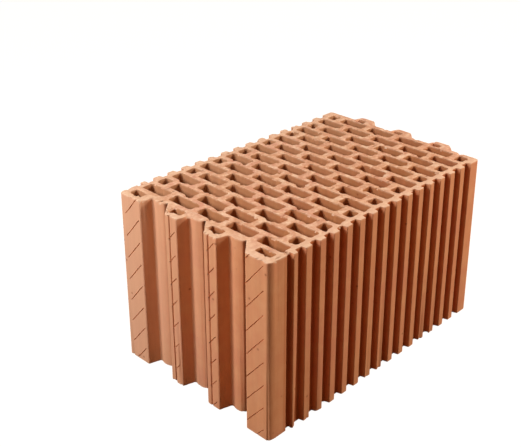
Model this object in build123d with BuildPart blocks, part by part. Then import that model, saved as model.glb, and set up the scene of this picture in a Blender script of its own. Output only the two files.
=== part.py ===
from build123d import *
import os

# Overall block in millimetres: X along the length, Y across the wall, Z up along the perforations
cover_length = 375.0
block_width = 248.0
block_height = 219.0
corner_radius = 5.0
corner_setback = 3.0

# Perforations: rows across the block in a running bond, cut short at the outer walls
outer_wall = 12.0
back_wall = 7.5
row_pitch = 21.7
hole_pitch = 47.3
hole_width = 15.2
hole_length = 38.0
hole_corner_cut = 1.8

# Joint grooves in the front end: a steep flank, a crowned floor, then a relief notch under a slanted flank
groove_count = 3
groove_pitch = 63.0
groove_row_offset = -1.5
groove_depth = 16.5
groove_floor_width = 18.5
groove_floor_crown = 2.5
groove_floor_radius = 2.5
steep_flank_run = 5.0
slanted_flank_run = 18.5
notch_depth = 20.0
notch_width = 2.0
nose_radius = 8.0
slanted_nose_radius = 3.0

# Joint tongues on the back end, made to the grooves with a clearance all round
tongue_length = 13.0
joint_clearance = 3.0
tongue_tip_radius = 5.0

# Small holes in the noses beside the grooves and in the back tongues
nose_hole_width = 9.5
nose_hole_length = 19.0
nose_hole_wall = 9.5
right_nose_hole_length = 22.0
right_nose_hole_wall = 11.0
nose_side_wall = 9.5
notch_wall = 6.0
tongue_hole_width = 8.0
tongue_hole_length = 13.0
tongue_hole_wall = 8.5
small_hole_radius = 2.0

# Narrow score that runs up each of the middle noses
score_depth = 1.3
score_from_edge = 6.5

# Plaster keys: ribs and grooves along both long sides, each groove between two rows of perforations
key_mouth_width = 12.4
key_floor_width = 9.0
key_depth = 6.0
key_edge_radius = 1.4
corner_flat = 26.0
corner_key_width = 7.0

# How far every cut runs past the surface it starts from
overrun = 5.0

# Planes and places that follow from the sizes above
half_width = block_width / 2
front_x = -(cover_length + tongue_length) / 2
back_x = front_x + cover_length
row_zone_start = front_x + notch_depth + notch_wall
last_row_x = back_x - back_wall - hole_width / 2
row_count = 1 + int((last_row_x - hole_width / 2 - row_zone_start) / row_pitch)
row_places = [last_row_x - row_pitch * step for step in reversed(range(row_count))]
hole_zone = half_width - outer_wall
groove_mouth = slanted_flank_run + notch_width + groove_floor_width + steep_flank_run
groove_places = [
    groove_row_offset + groove_pitch * (step - (groove_count - 1) / 2) for step in range(groove_count)
]
slanted_mouth_y = -groove_mouth / 2
slanted_foot_y = slanted_mouth_y + slanted_flank_run
notch_edge_y = slanted_foot_y + notch_width
steep_foot_y = notch_edge_y + groove_floor_width
steep_mouth_y = steep_foot_y + steep_flank_run
floor_middle_y = (notch_edge_y + steep_foot_y) / 2
nose_hole_x = front_x + nose_hole_wall + nose_hole_width / 2
right_hole_x = front_x + right_nose_hole_wall + nose_hole_width / 2
right_hole_y = -half_width + corner_setback + nose_side_wall + right_nose_hole_length / 2
left_hole_y = half_width - corner_setback - nose_side_wall - nose_hole_length / 2
nose_hole_places = [(nose_hole_x, left_hole_y)]
for groove_y in groove_places[:-1]:
    nose_hole_y = groove_y + steep_foot_y + nose_side_wall + nose_hole_length / 2
    nose_hole_places.append((nose_hole_x, nose_hole_y))
tongue_hole_x = back_x + tongue_length - tongue_hole_wall - tongue_hole_width / 2
key_places = [x + row_pitch / 2 for x in row_places[:-1]]
corner_key_x = front_x + corner_flat + corner_key_width / 2
body_length = back_x - corner_key_x


# Middles of the perforations, grouped by their length: every second row is moved by half a pitch
hole_groups = {}
for row_index, row_x in enumerate(row_places):
    reach = 1 + int(hole_zone / hole_pitch)
    for step in range(-reach, reach + 1):
        middle_y = hole_pitch * (step - row_index % 2 / 2)
        low_y = max(middle_y - hole_length / 2, -hole_zone)
        high_y = min(middle_y + hole_length / 2, hole_zone)
        if high_y - low_y > 4 * hole_corner_cut:
            length = round(high_y - low_y, 3)
            hole_groups.setdefault(length, []).append((row_x, (low_y + high_y) / 2))


# Joint groove profile: X is the depth from the front end, Y runs across
with BuildSketch() as groove_profile:
    with BuildLine():
        Polyline(
            (groove_depth, notch_edge_y),
            (notch_depth, slanted_foot_y),
            (0, slanted_mouth_y),
            (0, slanted_mouth_y - slanted_nose_radius - overrun),
            (-overrun, slanted_mouth_y - slanted_nose_radius - overrun),
            (-overrun, steep_mouth_y + nose_radius + overrun),
            (0, steep_mouth_y + nose_radius + overrun),
            (0, steep_mouth_y),
            (groove_depth, steep_foot_y),
        )
        ThreePointArc(
            (groove_depth, steep_foot_y),
            (groove_depth - groove_floor_crown, floor_middle_y),
            (groove_depth, notch_edge_y),
        )
    make_face()
    mouth_corners = groove_profile.vertices().filter_by_position(Axis.X, 0, 0).sort_by(Axis.Y)
    fillet(mouth_corners[1], slanted_nose_radius)
    mouth_corners = groove_profile.vertices().filter_by_position(Axis.X, 0, 0).sort_by(Axis.Y)
    fillet(mouth_corners[-2], nose_radius)
    floor_corners = groove_profile.vertices().filter_by_position(Axis.X, groove_depth, groove_depth)
    fillet(floor_corners.sort_by(Axis.Y)[-1], groove_floor_radius)

# Joint tongue profile: the groove drawn in by the clearance, from inside the body to the tip
with BuildSketch() as tongue_profile:
    slanted_slope = slanted_flank_run / notch_depth
    steep_slope = steep_flank_run / groove_depth
    slanted_base_y = slanted_mouth_y + joint_clearance * (1 + slanted_slope**2) ** 0.5
    steep_base_y = steep_mouth_y - joint_clearance * (1 + steep_slope**2) ** 0.5
    with BuildLine():
        Polyline(
            (-overrun, slanted_base_y - slanted_slope * overrun),
            (tongue_length, slanted_base_y + slanted_slope * tongue_length),
            (tongue_length, steep_base_y - steep_slope * tongue_length),
            (-overrun, steep_base_y + steep_slope * overrun),
            close=True,
        )
    make_face()
    fillet(tongue_profile.vertices().group_by(Axis.X)[-1], radius=tongue_tip_radius)

# Plaster key profiles: X runs along the block, Y is the depth from the long side
with BuildSketch() as key_profile:
    with BuildLine():
        Polyline(
            (-key_mouth_width, -overrun),
            (-key_mouth_width, 0),
            (-key_mouth_width / 2, 0),
            (-key_floor_width / 2, key_depth),
            (key_floor_width / 2, key_depth),
            (key_mouth_width / 2, 0),
            (key_mouth_width, 0),
            (key_mouth_width, -overrun),
            close=True,
        )
    make_face()
    key_mouth_corners = key_profile.vertices().filter_by_position(Axis.Y, 0, 0).sort_by(Axis.X)[1:3]
    fillet(key_mouth_corners, radius=key_edge_radius)

with BuildSketch() as corner_key_profile:
    with Locations((0, (key_depth - overrun) / 2)):
        Rectangle(corner_key_width, key_depth + overrun)

# Perforation profiles: one for each length, with cut corners
hole_profiles = []
for length in hole_groups:
    with BuildSketch() as hole_profile:
        Rectangle(hole_width, length)
        chamfer(hole_profile.vertices(), length=hole_corner_cut)
    hole_profiles.append(hole_profile)

# The fired block: one section, pushed straight up
with BuildPart() as clay_block:
    with BuildSketch() as section:
        # Body with rounded corners, a little narrower over the front corners
        with Locations((back_x - body_length / 2, 0)):
            Rectangle(body_length, block_width)
        with Locations((front_x + cover_length / 2, 0)):
            Rectangle(cover_length, block_width - 2 * corner_setback)
        fillet(section.vertices().group_by(Axis.X)[0], radius=corner_radius)
        fillet(section.vertices().group_by(Axis.X)[-1], radius=corner_radius)

        # Tongues at the back, grooves at the front
        with Locations(*[(back_x, y) for y in groove_places]):
            add(tongue_profile.sketch)
        with Locations(*[(front_x, y) for y in groove_places]):
            add(groove_profile.sketch, mode=Mode.SUBTRACT)

        # Scores on the noses that lie between two grooves
        with Locations(*[(front_x, y + slanted_mouth_y - score_from_edge) for y in groove_places[1:]]):
            RegularPolygon(score_depth, 4, mode=Mode.SUBTRACT)

        # Plaster keys on both long sides
        for side_y, turn in ((-half_width, 0), (half_width, 180)):
            with Locations(*[Location((x, side_y), turn) for x in key_places]):
                add(key_profile.sketch, mode=Mode.SUBTRACT)
            with Locations(Location((corner_key_x, side_y), turn)):
                add(corner_key_profile.sketch, mode=Mode.SUBTRACT)

        # Small holes in the noses and the tongues
        with Locations((right_hole_x, right_hole_y)):
            RectangleRounded(nose_hole_width, right_nose_hole_length, small_hole_radius, mode=Mode.SUBTRACT)
        with Locations(*nose_hole_places):
            RectangleRounded(nose_hole_width, nose_hole_length, small_hole_radius, mode=Mode.SUBTRACT)
        with Locations(*[(tongue_hole_x, y + floor_middle_y) for y in groove_places]):
            RectangleRounded(tongue_hole_width, tongue_hole_length, small_hole_radius, mode=Mode.SUBTRACT)

        # Running bond of perforations
        for hole_profile, places in zip(hole_profiles, hole_groups.values()):
            with Locations(*places):
                add(hole_profile.sketch, mode=Mode.SUBTRACT)
    extrude(amount=block_height)

clay_block.part.label = "clay_block"
os.makedirs("parts", exist_ok=True)
export_step(clay_block.part, "parts/clay_block.step")
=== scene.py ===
import math

import bpy
from mathutils import Matrix, Vector


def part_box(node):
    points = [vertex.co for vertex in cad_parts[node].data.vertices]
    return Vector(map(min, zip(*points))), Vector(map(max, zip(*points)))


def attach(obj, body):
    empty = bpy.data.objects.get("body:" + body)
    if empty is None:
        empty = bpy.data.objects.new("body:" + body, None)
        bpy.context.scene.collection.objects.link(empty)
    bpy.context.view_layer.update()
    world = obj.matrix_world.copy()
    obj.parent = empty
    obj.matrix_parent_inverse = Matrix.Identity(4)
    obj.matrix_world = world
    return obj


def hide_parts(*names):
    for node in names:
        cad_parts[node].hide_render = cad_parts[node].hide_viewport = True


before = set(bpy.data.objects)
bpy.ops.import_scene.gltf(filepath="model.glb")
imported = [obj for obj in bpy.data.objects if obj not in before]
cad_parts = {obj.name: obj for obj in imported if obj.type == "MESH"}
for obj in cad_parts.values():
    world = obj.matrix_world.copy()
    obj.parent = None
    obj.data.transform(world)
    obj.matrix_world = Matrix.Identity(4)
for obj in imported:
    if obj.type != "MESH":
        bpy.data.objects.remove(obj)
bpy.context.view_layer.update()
block_low, block_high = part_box("clay_block")

# The picture's frame in pixels, and the camera that fits it
image_width = 521
image_height = 447
optical_axis_column = 311.7
optical_axis_row = 155.3
focal_length_pixels = 914.0
sensor_width_mm = 36.0
camera_place = (-0.7553, -0.6743, 0.6667)
camera_heading_degrees = 41.71
camera_pitch_degrees = -22.76
camera_roll_degrees = 1.16

# Sizes of the fired surface, in metres
weld_distance = 0.00001
contour_spacing = 0.0021
hole_corner_radius = 0.0012
outline_corner_radius = 0.0005
corner_points = 2
shortest_outline = 0.5
worn_corner_length = 0.0100
worn_corner_width = 0.0045
worn_corner_setback = 0.003
arris_radius = 0.0009
lower_levels = (0.0005, 0.0016)
upper_levels = (0.00012, 0.0004, 0.0009, 0.0028)
middle_spans = 2
chip_reach = 0.0032
chip_depth = 0.0075
chip_threshold = 0.58
chip_size = 0.010
chipped_front = 0.045
front_chip_factor = 2.0
chip_sink_share = 0.4
arris_grain = 0.0045
arris_grain_range = (0.3, 0.7)
arris_rounding_range = (0.45, 1.45)
wall_waviness = 0.00035
wall_wave_length = 0.060
bed_unevenness = 0.00035
bed_wave_length = 0.016
wear_seed = 3.0

# Limits that pick the beds, the open edges and the walls of the perforations
facing_down_limit = -0.9
open_edge_limit = 1.5
bed_finish_limit = 0.6
flat_bed_limit = 0.97
sharp_angle_degrees = 38
hole_wall_from = 0.004
hole_wall_to = 0.006

# Scored lines that cross the noses of the grooved end, rising to the right and running out at one end
score_radius = 0.0007
score_depth_ratio = 2.6
score_rise = 1.17
score_spacing = 0.0288
score_count = 9
score_lift = 0.0002
score_wobble = 0.00035
score_wobble_length = 0.012
score_sides = 6
score_cuts = 9
upright_score_cuts = 60

# Each row of scored lines: its middle across the noses, half its run, its lowest line, the end that runs out
score_rows = (
    (-0.0985, 0.0140, -0.0040, "right"),
    (-0.0335, 0.0055, -0.0254, "right"),
    (0.0295, 0.0055, -0.0064, "right"),
    (0.0990, 0.0120, -0.0218, "left"),
)
upright_scores = (-0.030, 0.033)
upright_score_foot = 0.0004

# The block's own groove sizes, for the edge beside each steep flank
groove_pitch = 0.063
groove_row_offset = -0.0015
groove_depth = 0.0165
steep_mouth = 0.022
steep_foot = 0.017
nose_radius = 0.008
crisp_nose_reach = 0.0096
smallest_cosine = 0.01

# Where shade and light are painted into the clay, and how far the dust reaches on the upper bed: the block's
# own depths from its sides and ends, in metres
painted_shade_margin = 0.001
key_depth = 0.006
corner_flat = 0.026
groove_floor_depth = 0.0160
notch_depth = 0.020
tongue_reach = 0.013
painted_light_from = -0.06
painted_light_to = 0.12
painted_light_share = 0.8
bed_rim = 0.030

# Colours of the fired clay as they look in plain light, from 0 to 255, with the painted light and painted
# shades that are mixed into it
wall_orange = (216, 150, 108)
wall_pink = (214, 144, 110)
wall_buff = (220, 158, 116)
# painted light: the paler tone that the walls take towards the +Y side, where the key lamp falls
wall_painted_light = (224, 174, 142)
# painted shade, multiplied into the walls of the perforations
painted_hole_shade = (212, 204, 188)
# painted shade, multiplied into the side keys between the ribs
painted_key_shade = (212, 176, 150)
# painted shade, multiplied into the notches at the foot of the grooves
painted_notch_shade = (110, 84, 66)
bed_orange = (200, 149, 116)
bed_pink = (204, 148, 122)
bed_buff = (226, 184, 151)
dust = (234, 205, 176)
# painted shade, laid into the pits
painted_pit_shade = (128, 62, 34)

# Patches, mottles, drag lines, grains and pits of the clay, counted per metre
wall_patches = 14.0
wall_mottles = 55.0
bed_patches = 18.0
bed_mottles = 150.0
broad_lines = 170.0
broad_line_stretch = 14.0
fine_lines = 700.0
fine_line_stretch = 40.0
wall_grains = 1300.0
wall_pits = 160.0
bed_grains = 620.0
bed_pits = 190.0
powder_patches = 90.0

# How strongly each of them shows: where a pattern starts and is full, and the share that it takes
patch_range = (0.36, 0.64)
mottle_range = (0.42, 0.72)
mottle_shift = (3.1, 1.7, 0.4)
pit_range = (0.10, 0.32)
pit_depth_share = 1.2
wall_pit_share = 0.02
bed_pit_share = 0.16
wall_pit_tone_share = 0.55
bed_pit_tone_share = 0.5
streak_range = (0.3, 0.7)
streak_tones = (0.955, 1.035)
foot_dust_height = 0.0025
foot_dust_share = 0.55
foot_dust_range = (0.35, 0.6)
powder_range = (0.50, 0.72)
powder_share = 0.75
rim_dust_share = 0.55
torn_stretch = (0.35, 1.0, 1.0)
fine_line_share = 0.45
wall_grain_share = 0.40
grain_range = (0.2, 0.8)
wall_roughness = (0.78, 0.95)
bed_roughness = (0.85, 0.98)
specular_level = 0.01
wall_bump_strength = 0.35
wall_bump_height = 0.0006
bed_bump_strength = 0.7
bed_bump_height = 0.0009

# The studio: a floor that looks white, a warm fill, and three soft lamps
floor_half_width = 6.0
floor_gap = 0.0003
floor_colour = (0.16, 0.11, 0.07, 1)
floor_glow = 0.975
fill_colour = (1, 0.48, 0.22, 1)
fill_strength = 0.14
white = (1, 1, 1, 1)
lamp_aim = (0.0, 0.0, 0.1)

# Each lamp: its name, place, width, power in watts and colour
studio_lamps = (
    ("overhead", (0.3, 0.2, 1.7), 1.2, 6.0, (1, 1, 1)),
    ("left_front", (-1.10, 0.42, 0.86), 0.45, 16.0, (1, 1, 1)),
    ("right_side", (1.00, -1.00, 0.95), 0.50, 24.5, (1, 0.88, 0.76)),
)


def linear_colour(shade):
    """A colour from 0 to 255 as the shader's linear colour."""
    parts = [value / 255 for value in shade]
    bright = [((value + 0.055) / 1.055) ** 2.4 if value > 0.04045 else value / 12.92 for value in parts]
    return (*bright, 1.0)


class Nodes:
    """Adds nodes to one tree. An input takes a value or another node's output."""

    def __init__(self, tree):
        self.tree = tree

    def add(self, kind, inputs=None, **settings):
        node = self.tree.nodes.new(kind)
        for name, value in settings.items():
            setattr(node, name, value)
        for name, value in (inputs or {}).items():
            self.plug(node.inputs[name], value)
        return node

    def plug(self, socket, value):
        if isinstance(value, bpy.types.NodeSocket):
            self.tree.links.new(value, socket)
        else:
            socket.default_value = value

    def math(self, operation, *values, clamp=False):
        inputs = dict(enumerate(values))
        return self.add("ShaderNodeMath", inputs, operation=operation, use_clamp=clamp).outputs[0]

    def vector(self, operation, *values):
        node = self.add("ShaderNodeVectorMath", dict(enumerate(values)), operation=operation)
        return node.outputs["Value" if operation in ("DISTANCE", "LENGTH", "DOT_PRODUCT") else "Vector"]

    def scaled(self, vector, factor):
        return self.add("ShaderNodeVectorMath", {0: vector, "Scale": factor}, operation="SCALE").outputs[0]

    def part(self, vector, axis):
        return self.add("ShaderNodeSeparateXYZ", {0: vector}).outputs[axis]

    def joined(self, x, y, z):
        return self.add("ShaderNodeCombineXYZ", {0: x, 1: y, 2: z}).outputs[0]

    def noise(self, vector, scale, detail=2.0, roughness=0.5):
        inputs = {"Vector": vector, "Scale": scale, "Detail": detail, "Roughness": roughness}
        return self.add("ShaderNodeTexNoise", inputs).outputs[0]

    def ramp(self, value, low, high, to_low=0.0, to_high=1.0):
        inputs = {"Value": value, "From Min": low, "From Max": high, "To Min": to_low, "To Max": to_high}
        return self.add("ShaderNodeMapRange", inputs).outputs[0]

    def above(self, value, limit):
        return self.add("FunctionNodeCompare", {0: value, 1: limit}, operation="GREATER_THAN").outputs[0]

    def below(self, value, limit):
        return self.add("FunctionNodeCompare", {0: value, 1: limit}, operation="LESS_THAN").outputs[0]

    def mixed(self, factor, first, second, blend="MIX"):
        inputs = {0: factor, 6: first, 7: second}
        return self.add("ShaderNodeMix", inputs, data_type="RGBA", blend_type=blend).outputs[2]


def new_tree(name, kind, inputs, outputs):
    """A node group with named sockets, its builder and its two ends."""
    tree = bpy.data.node_groups.new(name, kind)
    for socket, socket_type in inputs:
        tree.interface.new_socket(socket, in_out="INPUT", socket_type=socket_type)
    for socket, socket_type in outputs:
        tree.interface.new_socket(socket, in_out="OUTPUT", socket_type=socket_type)
    nodes = Nodes(tree)
    return nodes, nodes.add("NodeGroupInput").outputs, nodes.add("NodeGroupOutput").inputs


def section_of_cad(nodes, given):
    """The CAD node's lower bed as one flat face with rounded corners, and its outline without the holes."""
    cad = nodes.add("GeometryNodeObjectInfo", {"Object": given["CAD node"]})
    welded = {"Geometry": cad.outputs["Geometry"], "Distance": weld_distance}
    whole = nodes.add("GeometryNodeMergeByDistance", welded)
    normal = nodes.add("GeometryNodeInputNormal").outputs["Normal"]
    facing_down = nodes.below(nodes.part(normal, 2), facing_down_limit)
    bed = nodes.add("GeometryNodeSeparateGeometry", {0: whole.outputs[0], 1: facing_down}, domain="FACE")
    rim = nodes.below(nodes.add("GeometryNodeInputMeshEdgeNeighbors").outputs[0], open_edge_limit)
    contours = nodes.add("GeometryNodeMeshToCurve", {"Mesh": bed.outputs[0], "Selection": rim})
    is_outline = nodes.above(nodes.add("GeometryNodeSplineLength").outputs["Length"], shortest_outline)
    radii = {"Switch": is_outline, "False": given["Hole corner radius"]}
    radii["True"] = given["Outline corner radius"]
    radius = nodes.add("GeometryNodeSwitch", radii, input_type="FLOAT").outputs[0]
    rounding = {"Curve": contours.outputs[0], "Count": corner_points, "Radius": radius, "Limit Radius": True}
    rounded = nodes.add("GeometryNodeFilletCurve", rounding, mode="POLY").outputs[0]
    place = nodes.add("GeometryNodeInputPosition").outputs[0]
    following = nodes.add("GeometryNodeOffsetPointInCurve", {"Offset": 1}).outputs["Point Index"]
    next_place = nodes.add("GeometryNodeFieldAtIndex", {"Index": following}, data_type="FLOAT_VECTOR")
    nodes.plug(next_place.inputs["Value"], place)
    run = nodes.vector("DISTANCE", place, next_place.outputs[0])
    cuts = nodes.math("FLOOR", nodes.math("DIVIDE", run, given["Contour spacing"]))
    divided = nodes.add("GeometryNodeSubdivideCurve", {"Curve": rounded, "Cuts": cuts}).outputs[0]
    change = nodes.vector("ADD", corner_wear(nodes, place), crisp_noses(nodes, place))
    moved = {"Geometry": divided, "Selection": is_outline, "Offset": change}
    worn = nodes.add("GeometryNodeSetPosition", moved).outputs[0]
    outline = nodes.add("GeometryNodeSeparateGeometry", {0: worn, 1: is_outline}, domain="CURVE").outputs[0]
    face = nodes.add("GeometryNodeFillCurve", {"Curve": worn}, mode="TRIANGLES").outputs[0]
    return face, nodes.add("GeometryNodeCurveToMesh", {"Curve": outline}).outputs[0]


def corner_wear(nodes, place):
    """How far the two front corners of the section are drawn in to a worn, longer round."""
    y = nodes.part(place, 1)
    from_front = nodes.math("SUBTRACT", nodes.part(place, 0), block_low.x)
    from_side = nodes.math("SUBTRACT", block_high.y - worn_corner_setback, nodes.math("ABSOLUTE", y))
    near_front = nodes.math("SUBTRACT", 1.0, nodes.math("DIVIDE", from_front, worn_corner_length))
    near_side = nodes.math("SUBTRACT", 1.0, nodes.math("DIVIDE", from_side, worn_corner_width))
    along = nodes.math("MAXIMUM", near_front, 0.0)
    across = nodes.math("MAXIMUM", near_side, 0.0)
    out = nodes.vector("LENGTH", nodes.joined(along, across, 0.0))
    excess = nodes.math("SUBTRACT", 1.0, nodes.math("DIVIDE", 1.0, nodes.math("MAXIMUM", out, 1.0)))
    worn = nodes.math("MULTIPLY", excess, nodes.math("GREATER_THAN", near_front, 0.0))
    back = nodes.math("MULTIPLY", nodes.math("MULTIPLY", along, worn), worn_corner_length)
    inwards = nodes.math("MULTIPLY", nodes.math("MULTIPLY", across, worn), -worn_corner_width)
    return nodes.joined(back, nodes.math("MULTIPLY", inwards, nodes.math("SIGN", y)), 0.0)


def crisp_noses(nodes, place):
    """How far the round between a nose's face and its steep flank is pushed out to a crisp edge."""
    flank_length = math.hypot(groove_depth, steep_mouth - steep_foot)
    flank_normal = ((steep_mouth - steep_foot) / flank_length, groove_depth / flank_length, 0.0)
    round_y = steep_mouth + nose_radius * (1 - flank_normal[0]) / flank_normal[1]
    from_row = nodes.math("SUBTRACT", nodes.part(place, 1), groove_row_offset)
    groove_number = nodes.math("ROUND", nodes.math("DIVIDE", from_row, groove_pitch))
    groove_y = nodes.math("MULTIPLY", groove_number, groove_pitch)
    across = nodes.math("SUBTRACT", from_row, groove_y)
    from_front = nodes.math("SUBTRACT", nodes.part(place, 0), block_low.x)
    arm = nodes.vector("SUBTRACT", nodes.joined(from_front, across, 0.0), (nose_radius, round_y, 0.0))
    ray = nodes.vector("NORMALIZE", arm)
    towards_face = nodes.vector("DOT_PRODUCT", ray, (-1, 0, 0))
    to_face = nodes.math("DIVIDE", nose_radius, nodes.math("MAXIMUM", towards_face, smallest_cosine))
    towards_flank = nodes.math("MULTIPLY", nodes.vector("DOT_PRODUCT", ray, flank_normal), -1.0)
    to_flank = nodes.math("DIVIDE", nose_radius, nodes.math("MAXIMUM", towards_flank, smallest_cosine))
    reach = nodes.math("MINIMUM", nodes.math("MINIMUM", to_face, to_flank), crisp_nose_reach)
    push = nodes.math("MAXIMUM", nodes.math("SUBTRACT", reach, nodes.vector("LENGTH", arm)), 0.0)
    on_steep_side = nodes.math("GREATER_THAN", across, steep_foot)
    return nodes.scaled(ray, nodes.math("MULTIPLY", push, on_steep_side))


def prism_of_section(nodes, section):
    """The section pushed up in levels, close together at both beds, and closed by a copy of it."""
    height = block_high.z - block_low.z
    middle = (height - lower_levels[-1] - upper_levels[-1]) / middle_spans
    levels = [0.0, *lower_levels]
    levels += [lower_levels[-1] + middle * step for step in range(1, middle_spans)]
    levels += [height - depth for depth in reversed(upper_levels)]
    levels += [height]
    rises = [high - low for low, high in zip(levels, levels[1:])]
    mesh = nodes.add("GeometryNodeFlipFaces", {"Mesh": section}).outputs[0]
    edge = nodes.below(nodes.add("GeometryNodeInputMeshEdgeNeighbors").outputs[0], open_edge_limit)
    for rise in rises:
        upwards = nodes.joined(0.0, 0.0, rise)
        pushed = {"Mesh": mesh, "Selection": edge, "Offset": upwards, "Offset Scale": 1.0}
        step = nodes.add("GeometryNodeExtrudeMesh", pushed, mode="EDGES")
        mesh, edge = step.outputs["Mesh"], step.outputs["Top"]
    lifted = {"Geometry": section, "Translation": (0, 0, height)}
    upper_bed = nodes.add("GeometryNodeTransform", lifted).outputs[0]
    both = nodes.add("GeometryNodeJoinGeometry")
    nodes.plug(both.inputs[0], mesh)
    nodes.plug(both.inputs[0], upper_bed)
    welded = {"Geometry": both.outputs[0], "Distance": weld_distance}
    return nodes.add("GeometryNodeMergeByDistance", welded).outputs[0]


def worn_prism(nodes, given, prism):
    """Rounds and chips the arrises and makes the walls and the upper bed a little uneven, always inwards."""
    place = nodes.add("GeometryNodeInputPosition").outputs[0]
    normal = nodes.add("GeometryNodeInputNormal").outputs["Normal"]
    outwards = nodes.vector("NORMALIZE", nodes.vector("MULTIPLY", normal, (1, 1, 0)))
    seeded = nodes.vector("ADD", place, nodes.joined(given["Seed"], 0.0, 0.0))
    rise = nodes.part(place, 2)
    from_top = nodes.math("SUBTRACT", block_high.z, rise)
    from_bed = nodes.math("MINIMUM", rise, from_top)
    near = nodes.math("SUBTRACT", 1.0, nodes.math("DIVIDE", from_bed, given["Arris radius"]), clamp=True)
    drop = nodes.math("SQRT", nodes.math("SUBTRACT", 1.0, nodes.math("MULTIPLY", near, near)))
    rounding = nodes.math("MULTIPLY", nodes.math("SUBTRACT", 1.0, drop), given["Arris radius"])
    grain = nodes.noise(seeded, 1 / arris_grain, detail=2.0)
    unevenness = nodes.ramp(grain, *arris_grain_range, *arris_rounding_range)
    uneven_rounding = nodes.math("MULTIPLY", rounding, unevenness)
    flake = nodes.ramp(nodes.noise(seeded, 1 / chip_size, detail=1.0), chip_threshold, 1.0, 0.0, 1.0)
    chip_near = nodes.math("SUBTRACT", 1.0, nodes.math("DIVIDE", from_bed, chip_reach), clamp=True)
    chip = nodes.math("MULTIPLY", nodes.math("MULTIPLY", flake, chip_near), given["Chip depth"])
    from_front = nodes.math("SUBTRACT", nodes.part(place, 0), block_low.x)
    more_in_front = nodes.ramp(from_front, 0.0, chipped_front, front_chip_factor, 1.0)
    chip = nodes.math("MULTIPLY", chip, more_in_front)
    waves = nodes.noise(seeded, 1 / wall_wave_length, detail=1.0)
    wave = nodes.math("MULTIPLY", waves, given["Wall waviness"])
    inset = nodes.math("ADD", nodes.math("ADD", uneven_rounding, chip), wave)
    hollows = nodes.noise(seeded, 1 / bed_wave_length, detail=2.0)
    level = nodes.math("MULTIPLY", hollows, given["Bed unevenness"])
    sunk = nodes.math("ADD", level, nodes.math("MULTIPLY", chip, chip_sink_share))
    at_top = nodes.ramp(from_top, 0.0, chip_reach, 1.0, 0.0)
    lowered = nodes.math("MULTIPLY", nodes.math("MULTIPLY", sunk, at_top), -1.0)
    drawn_in = nodes.scaled(outwards, nodes.math("MULTIPLY", inset, -1.0))
    moved = nodes.vector("ADD", drawn_in, nodes.joined(0.0, 0.0, lowered))
    return nodes.add("GeometryNodeSetPosition", {"Geometry": prism, "Offset": moved}).outputs[0]


def slanting_lines(nodes, given):
    """The middles of the slanting scored lines, a row for each nose, not yet moved to the front face."""
    lines = nodes.add("GeometryNodeJoinGeometry")
    for middle_y, half_run, first_rise, shallow_end in score_rows:
        start = (-score_lift if shallow_end == "left" else 0, half_run, -half_run * score_rise)
        end = (-score_lift if shallow_end == "right" else 0, -half_run, half_run * score_rise)
        line = nodes.add("GeometryNodeCurvePrimitiveLine", {"Start": start, "End": end}).outputs[0]
        row = {"Count": score_count, "Start Location": (0, middle_y, first_rise)}
        row["Offset"] = nodes.joined(0.0, 0.0, given["Score spacing"])
        points = nodes.add("GeometryNodeMeshLine", row).outputs[0]
        placed = nodes.add("GeometryNodeInstanceOnPoints", {"Points": points, "Instance": line}).outputs[0]
        nodes.plug(lines.inputs[0], placed)
    real = nodes.add("GeometryNodeRealizeInstances", {0: lines.outputs[0]}).outputs[0]
    return nodes.add("GeometryNodeSubdivideCurve", {"Curve": real, "Cuts": score_cuts}).outputs[0]


def upright_lines(nodes):
    """The middles of the two scores up the middle noses, at the foot of the block's own shallow grooves."""
    lines = nodes.add("GeometryNodeJoinGeometry")
    for y in upright_scores:
        start = (upright_score_foot, y, block_low.z - chip_reach)
        end = (upright_score_foot, y, block_high.z + chip_reach)
        line = nodes.add("GeometryNodeCurvePrimitiveLine", {"Start": start, "End": end}).outputs[0]
        nodes.plug(lines.inputs[0], line)
    divided = {"Curve": lines.outputs[0], "Cuts": upright_score_cuts}
    return nodes.add("GeometryNodeSubdivideCurve", divided).outputs[0]


def score_blades(nodes, given, lines):
    """Thin wavering blades along the lines, sunk into the front face, to cut the scores with."""
    place = nodes.add("GeometryNodeInputPosition").outputs[0]
    inputs = {"Vector": place, "Scale": 1 / score_wobble_length, "Detail": 1.0}
    noise = nodes.add("ShaderNodeTexNoise", inputs).outputs["Color"]
    wobble = nodes.scaled(nodes.vector("SUBTRACT", noise, (0.5, 0.5, 0.5)), 2 * score_wobble)
    moved = nodes.add("GeometryNodeSetPosition", {"Geometry": lines, "Offset": wobble}).outputs[0]
    circle = {"Resolution": score_sides, "Radius": given["Score radius"]}
    ring = nodes.add("GeometryNodeCurvePrimitiveCircle", circle).outputs[0]
    swept = {"Curve": moved, "Profile Curve": ring, "Fill Caps": True}
    rods = nodes.add("GeometryNodeCurveToMesh", swept).outputs[0]
    blades = {"Geometry": rods, "Translation": (block_low.x, 0, 0), "Scale": (score_depth_ratio, 1, 1)}
    return nodes.add("GeometryNodeTransform", blades).outputs[0]


def marked_inside(nodes, mesh, outline):
    """Marks the walls that stand away from the outline, those of the perforations, where the wall finish
    paints shade.
    """
    place = nodes.add("GeometryNodeInputPosition").outputs[0]
    plan = {"Geometry": outline, "Sample Position": nodes.vector("MULTIPLY", place, (1, 1, 0))}
    distance = nodes.add("GeometryNodeProximity", plan, target_element="EDGES").outputs["Distance"]
    inside = nodes.ramp(distance, hole_wall_from, hole_wall_to)
    mark = {"Geometry": mesh, "Name": "inside", "Value": inside}
    return nodes.add("GeometryNodeStoreNamedAttribute", mark, data_type="FLOAT", domain="POINT").outputs[0]


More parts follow.
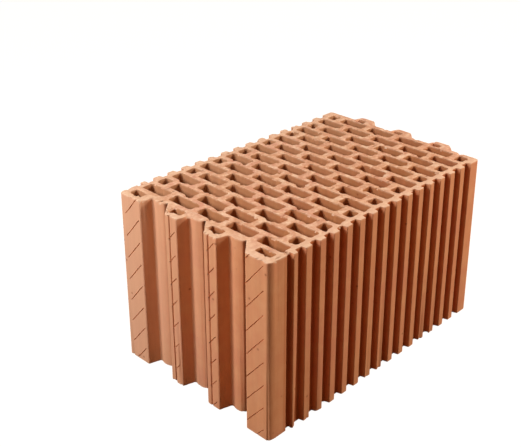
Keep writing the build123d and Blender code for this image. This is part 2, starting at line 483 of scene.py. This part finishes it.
def block_tree():
    """The whole fired block, grown from the section of the CAD node."""
    inputs = [
        ("Geometry", "NodeSocketGeometry"),
        ("CAD node", "NodeSocketObject"),
        ("Contour spacing", "NodeSocketFloat"),
        ("Hole corner radius", "NodeSocketFloat"),
        ("Outline corner radius", "NodeSocketFloat"),
        ("Arris radius", "NodeSocketFloat"),
        ("Chip depth", "NodeSocketFloat"),
        ("Wall waviness", "NodeSocketFloat"),
        ("Bed unevenness", "NodeSocketFloat"),
        ("Score radius", "NodeSocketFloat"),
        ("Score spacing", "NodeSocketFloat"),
        ("Seed", "NodeSocketFloat"),
        ("Wall finish", "NodeSocketMaterial"),
        ("Bed finish", "NodeSocketMaterial"),
    ]
    outputs = [("Geometry", "NodeSocketGeometry")]
    nodes, given, result = new_tree("fired_block", "GeometryNodeTree", inputs, outputs)
    section, outline = section_of_cad(nodes, given)
    worn = worn_prism(nodes, given, prism_of_section(nodes, section))
    uncut = {"Mesh 1": worn}
    cut = nodes.add("GeometryNodeMeshBoolean", uncut, operation="DIFFERENCE", solver="MANIFOLD")
    nodes.plug(cut.inputs["Mesh 2"], score_blades(nodes, given, slanting_lines(nodes, given)))
    nodes.plug(cut.inputs["Mesh 2"], score_blades(nodes, given, upright_lines(nodes)))
    marked = marked_inside(nodes, cut.outputs[0], outline)
    real = nodes.add("GeometryNodeRealizeInstances", {0: marked}).outputs[0]
    finished = {"Geometry": real, "Material": given["Wall finish"]}
    walls = nodes.add("GeometryNodeSetMaterial", finished).outputs[0]
    normal = nodes.add("GeometryNodeInputNormal").outputs["Normal"]
    level = nodes.above(nodes.math("ABSOLUTE", nodes.part(normal, 2)), bed_finish_limit)
    beds = {"Geometry": walls, "Selection": level, "Material": given["Bed finish"]}
    nodes.plug(result["Geometry"], nodes.add("GeometryNodeSetMaterial", beds).outputs[0])
    return nodes.tree


def make_block(wall_finish, bed_finish):
    """Runs the block's tree once and keeps the result as a plain mesh."""
    piece = bpy.data.objects.new("fired_block", bpy.data.meshes.new("empty_block"))
    bpy.context.scene.collection.objects.link(piece)
    growth = piece.modifiers.new("growth", "NODES")
    growth.node_group = block_tree()
    values = {
        "CAD node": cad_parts["clay_block"],
        "Contour spacing": contour_spacing,
        "Hole corner radius": hole_corner_radius,
        "Outline corner radius": outline_corner_radius,
        "Arris radius": arris_radius,
        "Chip depth": chip_depth,
        "Wall waviness": wall_waviness,
        "Bed unevenness": bed_unevenness,
        "Score radius": score_radius,
        "Score spacing": score_spacing,
        "Seed": wear_seed,
        "Wall finish": wall_finish,
        "Bed finish": bed_finish,
    }
    for socket in growth.node_group.interface.items_tree:
        if socket.name in values and socket.in_out == "INPUT":
            growth[socket.identifier] = values[socket.name]
    graph = bpy.context.evaluated_depsgraph_get()
    mesh = bpy.data.meshes.new_from_object(piece.evaluated_get(graph), depsgraph=graph)
    piece.modifiers.remove(growth)
    piece.data = mesh
    mesh.name = "fired_block"
    shade_walls_smooth(mesh)
    return piece


def shade_walls_smooth(mesh):
    """Smooth walls and arrises, with the two beds left flat."""
    smooth = [abs(face.normal.z) < flat_bed_limit for face in mesh.polygons]
    mesh.polygons.foreach_set("use_smooth", smooth)
    mesh.set_sharp_from_angle(angle=math.radians(sharp_angle_degrees))


def tones_group():
    """Patches and mottling of three clay tones."""
    inputs = [
        ("Vector", "NodeSocketVector"),
        ("Patches per metre", "NodeSocketFloat"),
        ("Mottles per metre", "NodeSocketFloat"),
        ("Main tone", "NodeSocketColor"),
        ("Pink tone", "NodeSocketColor"),
        ("Buff tone", "NodeSocketColor"),
    ]
    outputs = [("Color", "NodeSocketColor")]
    nodes, given, result = new_tree("clay_tones", "ShaderNodeTree", inputs, outputs)
    patches = nodes.noise(given["Vector"], given["Patches per metre"], detail=3.0, roughness=0.55)
    shifted = nodes.vector("ADD", given["Vector"], mottle_shift)
    mottles = nodes.noise(shifted, given["Mottles per metre"], detail=4.0, roughness=0.6)
    warm = nodes.mixed(nodes.ramp(patches, *patch_range), given["Main tone"], given["Pink tone"])
    mottled = nodes.mixed(nodes.ramp(mottles, *mottle_range), warm, given["Buff tone"])
    nodes.plug(result["Color"], mottled)
    return nodes.tree


def grain_group():
    """Fine sandy grain with scattered pits: a height and a mask of the pits."""
    inputs = [
        ("Vector", "NodeSocketVector"),
        ("Grains per metre", "NodeSocketFloat"),
        ("Pits per metre", "NodeSocketFloat"),
        ("Pit share", "NodeSocketFloat"),
    ]
    outputs = [("Height", "NodeSocketFloat"), ("Pits", "NodeSocketFloat")]
    nodes, given, result = new_tree("clay_grain", "ShaderNodeTree", inputs, outputs)
    grain = nodes.noise(given["Vector"], given["Grains per metre"], detail=3.0, roughness=0.65)
    cells = {"Vector": given["Vector"], "Scale": given["Pits per metre"], "Randomness": 1.0}
    cell = nodes.add("ShaderNodeTexVoronoi", cells)
    chance = nodes.part(cell.outputs["Color"], 0)
    chosen = nodes.math("LESS_THAN", chance, given["Pit share"])
    hollow = nodes.ramp(cell.outputs["Distance"], *pit_range, 1.0, 0.0)
    pits = nodes.math("MULTIPLY", hollow, chosen)
    nodes.plug(result["Pits"], pits)
    sunk = nodes.math("MULTIPLY", pits, pit_depth_share)
    nodes.plug(result["Height"], nodes.math("SUBTRACT", grain, sunk))
    return nodes.tree


def drag_group():
    """Fine lines that the die drew along the block: a height that hardly changes along Z."""
    inputs = [
        ("Vector", "NodeSocketVector"),
        ("Lines per metre", "NodeSocketFloat"),
        ("Stretch", "NodeSocketFloat"),
    ]
    outputs = [("Height", "NodeSocketFloat")]
    nodes, given, result = new_tree("die_drag", "ShaderNodeTree", inputs, outputs)
    along = nodes.joined(1.0, 1.0, nodes.math("DIVIDE", 1.0, given["Stretch"]))
    squeezed = nodes.vector("MULTIPLY", given["Vector"], along)
    lines = nodes.noise(squeezed, given["Lines per metre"], detail=3.0, roughness=0.6)
    nodes.plug(result["Height"], lines)
    return nodes.tree


def placed_group(nodes, tree, inputs):
    """A shared shader group placed in a tree, with its inputs plugged in: its outputs."""
    node = nodes.add("ShaderNodeGroup", node_tree=tree)
    for name, value in inputs.items():
        nodes.plug(node.inputs[name], value)
    return node.outputs


def new_material(name):
    """A material with an empty tree but for its shader and output."""
    material = bpy.data.materials.new(name)
    material.use_nodes = True
    material.node_tree.nodes.clear()
    nodes = Nodes(material.node_tree)
    shader = nodes.add("ShaderNodeBsdfPrincipled")
    output = nodes.add("ShaderNodeOutputMaterial")
    nodes.plug(output.inputs["Surface"], shader.outputs[0])
    return material, nodes, shader.inputs


def shaded_hollows(nodes, place, clay):
    """Painted shade: the clay is multiplied darker and redder in the side keys, the notches at the foot of
    the grooves and the perforations.
    """
    x, y = nodes.part(place, 0), nodes.part(place, 1)
    from_side = nodes.math("SUBTRACT", block_high.y, nodes.math("ABSOLUTE", y))
    from_front = nodes.math("SUBTRACT", x, block_low.x)
    past_grooves = nodes.math("SUBTRACT", from_front, notch_depth)
    from_tongues = nodes.math("SUBTRACT", block_high.x - tongue_reach, x)
    from_ends = nodes.math("MINIMUM", past_grooves, from_tongues)
    # painted shade: clay set back from the side faces and the ends, as in the keys between the ribs, is
    # multiplied darker and redder
    in_key = nodes.ramp(nodes.math("MINIMUM", from_side, from_ends), painted_shade_margin, key_depth)
    keyed = nodes.mixed(in_key, clay, linear_colour(painted_key_shade), blend="MULTIPLY")
    # painted shade: the notch at the foot of each groove's slanted flank is multiplied dark
    deep = nodes.ramp(from_front, groove_floor_depth, notch_depth)
    at_grooves = nodes.math("LESS_THAN", past_grooves, painted_shade_margin)
    off_side = nodes.math("GREATER_THAN", from_side, corner_flat)
    in_notch = nodes.math("MULTIPLY", deep, nodes.math("MULTIPLY", at_grooves, off_side))
    notched = nodes.mixed(in_notch, keyed, linear_colour(painted_notch_shade), blend="MULTIPLY")
    # painted shade: the walls of the perforations are multiplied darker and redder
    in_hole = nodes.add("ShaderNodeAttribute", attribute_name="inside").outputs["Fac"]
    holed = nodes.mixed(1.0, clay, linear_colour(painted_hole_shade), blend="MULTIPLY")
    return nodes.mixed(in_hole, notched, holed)


def wall_material(tones, grain, drag):
    """Extruded clay: tones, painted light towards the +Y side, painted shade in the keys, notches,
    perforations and pits, vertical drag lines, fine grain, and dust near the beds.
    """
    material, nodes, shader = new_material("extruded_clay")
    place = nodes.add("ShaderNodeTexCoord").outputs["Object"]
    colours = {"Vector": place, "Patches per metre": wall_patches, "Mottles per metre": wall_mottles}
    colours["Main tone"] = linear_colour(wall_orange)
    colours["Pink tone"] = linear_colour(wall_pink)
    colours["Buff tone"] = linear_colour(wall_buff)
    # painted light: the walls turn paler towards the +Y side, where the key lamp falls
    paler = nodes.ramp(nodes.part(place, 1), painted_light_from, painted_light_to, 0.0, painted_light_share)
    clay = nodes.mixed(paler, placed_group(nodes, tones, colours)["Color"], linear_colour(wall_painted_light))
    clay = shaded_hollows(nodes, place, clay)
    wide = {"Vector": place, "Lines per metre": broad_lines, "Stretch": broad_line_stretch}
    broad = placed_group(nodes, drag, wide)["Height"]
    narrow = {"Vector": place, "Lines per metre": fine_lines, "Stretch": fine_line_stretch}
    fine = placed_group(nodes, drag, narrow)["Height"]
    sand = {"Vector": place, "Grains per metre": wall_grains, "Pits per metre": wall_pits}
    sand["Pit share"] = wall_pit_share
    sandy = placed_group(nodes, grain, sand)
    streak = nodes.ramp(broad, *streak_range, *streak_tones)
    streaked = nodes.mixed(1.0, clay, nodes.joined(streak, streak, streak), blend="MULTIPLY")
    rise = nodes.part(place, 2)
    from_bed = nodes.math("MINIMUM", rise, nodes.math("SUBTRACT", block_high.z, rise))
    at_foot = nodes.ramp(from_bed, 0.0, foot_dust_height, foot_dust_share, 0.0)
    dusty = nodes.math("MULTIPLY", at_foot, nodes.ramp(broad, *foot_dust_range))
    dusted = nodes.mixed(dusty, streaked, linear_colour(dust))
    # painted shade: the pits are darkened where the bump sinks them
    in_pit = nodes.math("MULTIPLY", sandy["Pits"], wall_pit_tone_share)
    pitted = nodes.mixed(in_pit, dusted, linear_colour(painted_pit_shade))
    nodes.plug(shader["Base Color"], pitted)
    nodes.plug(shader["Roughness"], nodes.ramp(sandy["Height"], *grain_range, *wall_roughness))
    shader["Specular IOR Level"].default_value = specular_level
    height = nodes.math("ADD", broad, nodes.math("MULTIPLY", fine, fine_line_share))
    height = nodes.math("ADD", height, nodes.math("MULTIPLY", sandy["Height"], wall_grain_share))
    relief = {"Strength": wall_bump_strength, "Distance": wall_bump_height, "Height": height}
    bump = nodes.add("ShaderNodeBump", relief)
    nodes.plug(shader["Normal"], bump.outputs[0])
    return material


def bed_material(tones, grain):
    """Clay cut by the wire: paler and dusty, with a torn grain and painted shade in its pits."""
    material, nodes, shader = new_material("cut_clay")
    place = nodes.add("ShaderNodeTexCoord").outputs["Object"]
    colours = {"Vector": place, "Patches per metre": bed_patches, "Mottles per metre": bed_mottles}
    colours["Main tone"] = linear_colour(bed_orange)
    colours["Pink tone"] = linear_colour(bed_pink)
    colours["Buff tone"] = linear_colour(bed_buff)
    clay = placed_group(nodes, tones, colours)["Color"]
    torn = nodes.vector("MULTIPLY", place, torn_stretch)
    sand = {"Vector": torn, "Grains per metre": bed_grains, "Pits per metre": bed_pits}
    sand["Pit share"] = bed_pit_share
    sandy = placed_group(nodes, grain, sand)
    patches = nodes.noise(place, powder_patches, detail=4.0, roughness=0.65)
    powder = nodes.ramp(patches, *powder_range, 0.0, powder_share)
    from_side = nodes.math("SUBTRACT", block_high.y, nodes.math("ABSOLUTE", nodes.part(place, 1)))
    from_front = nodes.math("SUBTRACT", nodes.part(place, 0), block_low.x)
    from_rim = nodes.math("MINIMUM", from_side, from_front)
    rim = nodes.ramp(from_rim, 0.0, bed_rim, rim_dust_share, 0.0)
    dusted = nodes.mixed(nodes.math("MAXIMUM", powder, rim), clay, linear_colour(dust))
    # painted shade: the pits are darkened where the bump sinks them
    in_pit = nodes.math("MULTIPLY", sandy["Pits"], bed_pit_tone_share)
    pitted = nodes.mixed(in_pit, dusted, linear_colour(painted_pit_shade))
    nodes.plug(shader["Base Color"], pitted)
    nodes.plug(shader["Roughness"], nodes.ramp(sandy["Height"], *grain_range, *bed_roughness))
    shader["Specular IOR Level"].default_value = specular_level
    relief = {"Strength": bed_bump_strength, "Distance": bed_bump_height, "Height": sandy["Height"]}
    bump = nodes.add("ShaderNodeBump", relief)
    nodes.plug(shader["Normal"], bump.outputs[0])
    return material


def seen_directly(nodes):
    """1 for rays from the camera and for those seen in gloss or glass."""
    path = nodes.add("ShaderNodeLightPath").outputs
    mirrored = nodes.math("MAXIMUM", path["Is Glossy Ray"], path["Is Transmission Ray"])
    return nodes.math("MAXIMUM", path["Is Camera Ray"], mirrored)


def make_floor():
    """A plain pale floor that looks white and keeps a soft shadow."""
    half = floor_half_width
    plan = [(-half, -half), (half, -half), (half, half), (-half, half)]
    corners = [(x, y, -floor_gap) for x, y in plan]
    mesh = bpy.data.meshes.new("floor")
    mesh.from_pydata(corners, [], [(0, 1, 2, 3)])
    floor = bpy.data.objects.new("floor", mesh)
    bpy.context.scene.collection.objects.link(floor)
    material = bpy.data.materials.new("pale_floor")
    material.use_nodes = True
    material.node_tree.nodes.clear()
    nodes = Nodes(material.node_tree)
    matte = nodes.add("ShaderNodeBsdfDiffuse", {"Color": floor_colour})
    strength = nodes.math("MULTIPLY", seen_directly(nodes), floor_glow)
    glow = nodes.add("ShaderNodeEmission", {"Color": white, "Strength": strength})
    blend = nodes.add("ShaderNodeAddShader", {0: matte.outputs[0], 1: glow.outputs[0]})
    nodes.add("ShaderNodeOutputMaterial", {"Surface": blend.outputs[0]})
    mesh.materials.append(material)


def make_world():
    """White to the eye, a dim and warm even light to the block."""
    world = bpy.data.worlds.new("studio")
    bpy.context.scene.world = world
    world.use_nodes = True
    world.node_tree.nodes.clear()
    nodes = Nodes(world.node_tree)
    fill = nodes.add("ShaderNodeBackground", {"Color": fill_colour, "Strength": fill_strength}).outputs[0]
    plain = nodes.add("ShaderNodeBackground", {"Color": white, "Strength": 1.0}).outputs[0]
    blend = nodes.add("ShaderNodeMixShader", {0: seen_directly(nodes), 1: fill, 2: plain})
    nodes.add("ShaderNodeOutputWorld", {"Surface": blend.outputs[0]})


def add_lamp(name, place, width, power, colour):
    """A square soft light at a place, turned to the lamps' common aim."""
    data = bpy.data.lights.new(name, "AREA")
    data.shape = "SQUARE"
    data.size = width
    data.energy = power
    data.color = colour
    lamp = bpy.data.objects.new(name, data)
    lamp.location = place
    lamp.rotation_euler = (Vector(lamp_aim) - Vector(place)).to_track_quat("-Z", "Y").to_euler()
    bpy.context.scene.collection.objects.link(lamp)


def make_lights():
    """The three lamps, all turned to the middle of the block."""
    for name, place, width, power, colour in studio_lamps:
        add_lamp(name, place, width, power, colour)


def make_camera():
    """The camera at the photograph's place, with its frame shifted to hold the block as the picture does."""
    heading = math.radians(camera_heading_degrees)
    pitch = math.radians(camera_pitch_degrees)
    roll = math.radians(camera_roll_degrees)
    forwards = Vector((math.cos(heading), math.sin(heading), 0.0))
    ahead = forwards * math.cos(pitch) + Vector((0.0, 0.0, math.sin(pitch)))
    level = Vector((math.sin(heading), -math.cos(heading), 0.0))
    right = level * math.cos(roll) + level.cross(ahead) * math.sin(roll)
    up = right.cross(ahead)
    data = bpy.data.cameras.new("camera")
    data.sensor_width = sensor_width_mm
    data.lens = focal_length_pixels / image_width * sensor_width_mm
    data.shift_x = (image_width / 2 - optical_axis_column) / image_width
    data.shift_y = (optical_axis_row - image_height / 2) / image_width
    camera = bpy.data.objects.new("camera", data)
    turn = Matrix((right, up, -ahead)).transposed().to_4x4()
    camera.matrix_world = Matrix.Translation(camera_place) @ turn
    bpy.context.scene.collection.objects.link(camera)
    bpy.context.scene.camera = camera


tones = tones_group()
grain = grain_group()
drag = drag_group()
block = make_block(wall_material(tones, grain, drag), bed_material(tones, grain))
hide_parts("clay_block")
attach(block, "root")

make_floor()
make_world()
make_lights()
make_camera()
bpy.context.scene.view_settings.view_transform = "Standard"
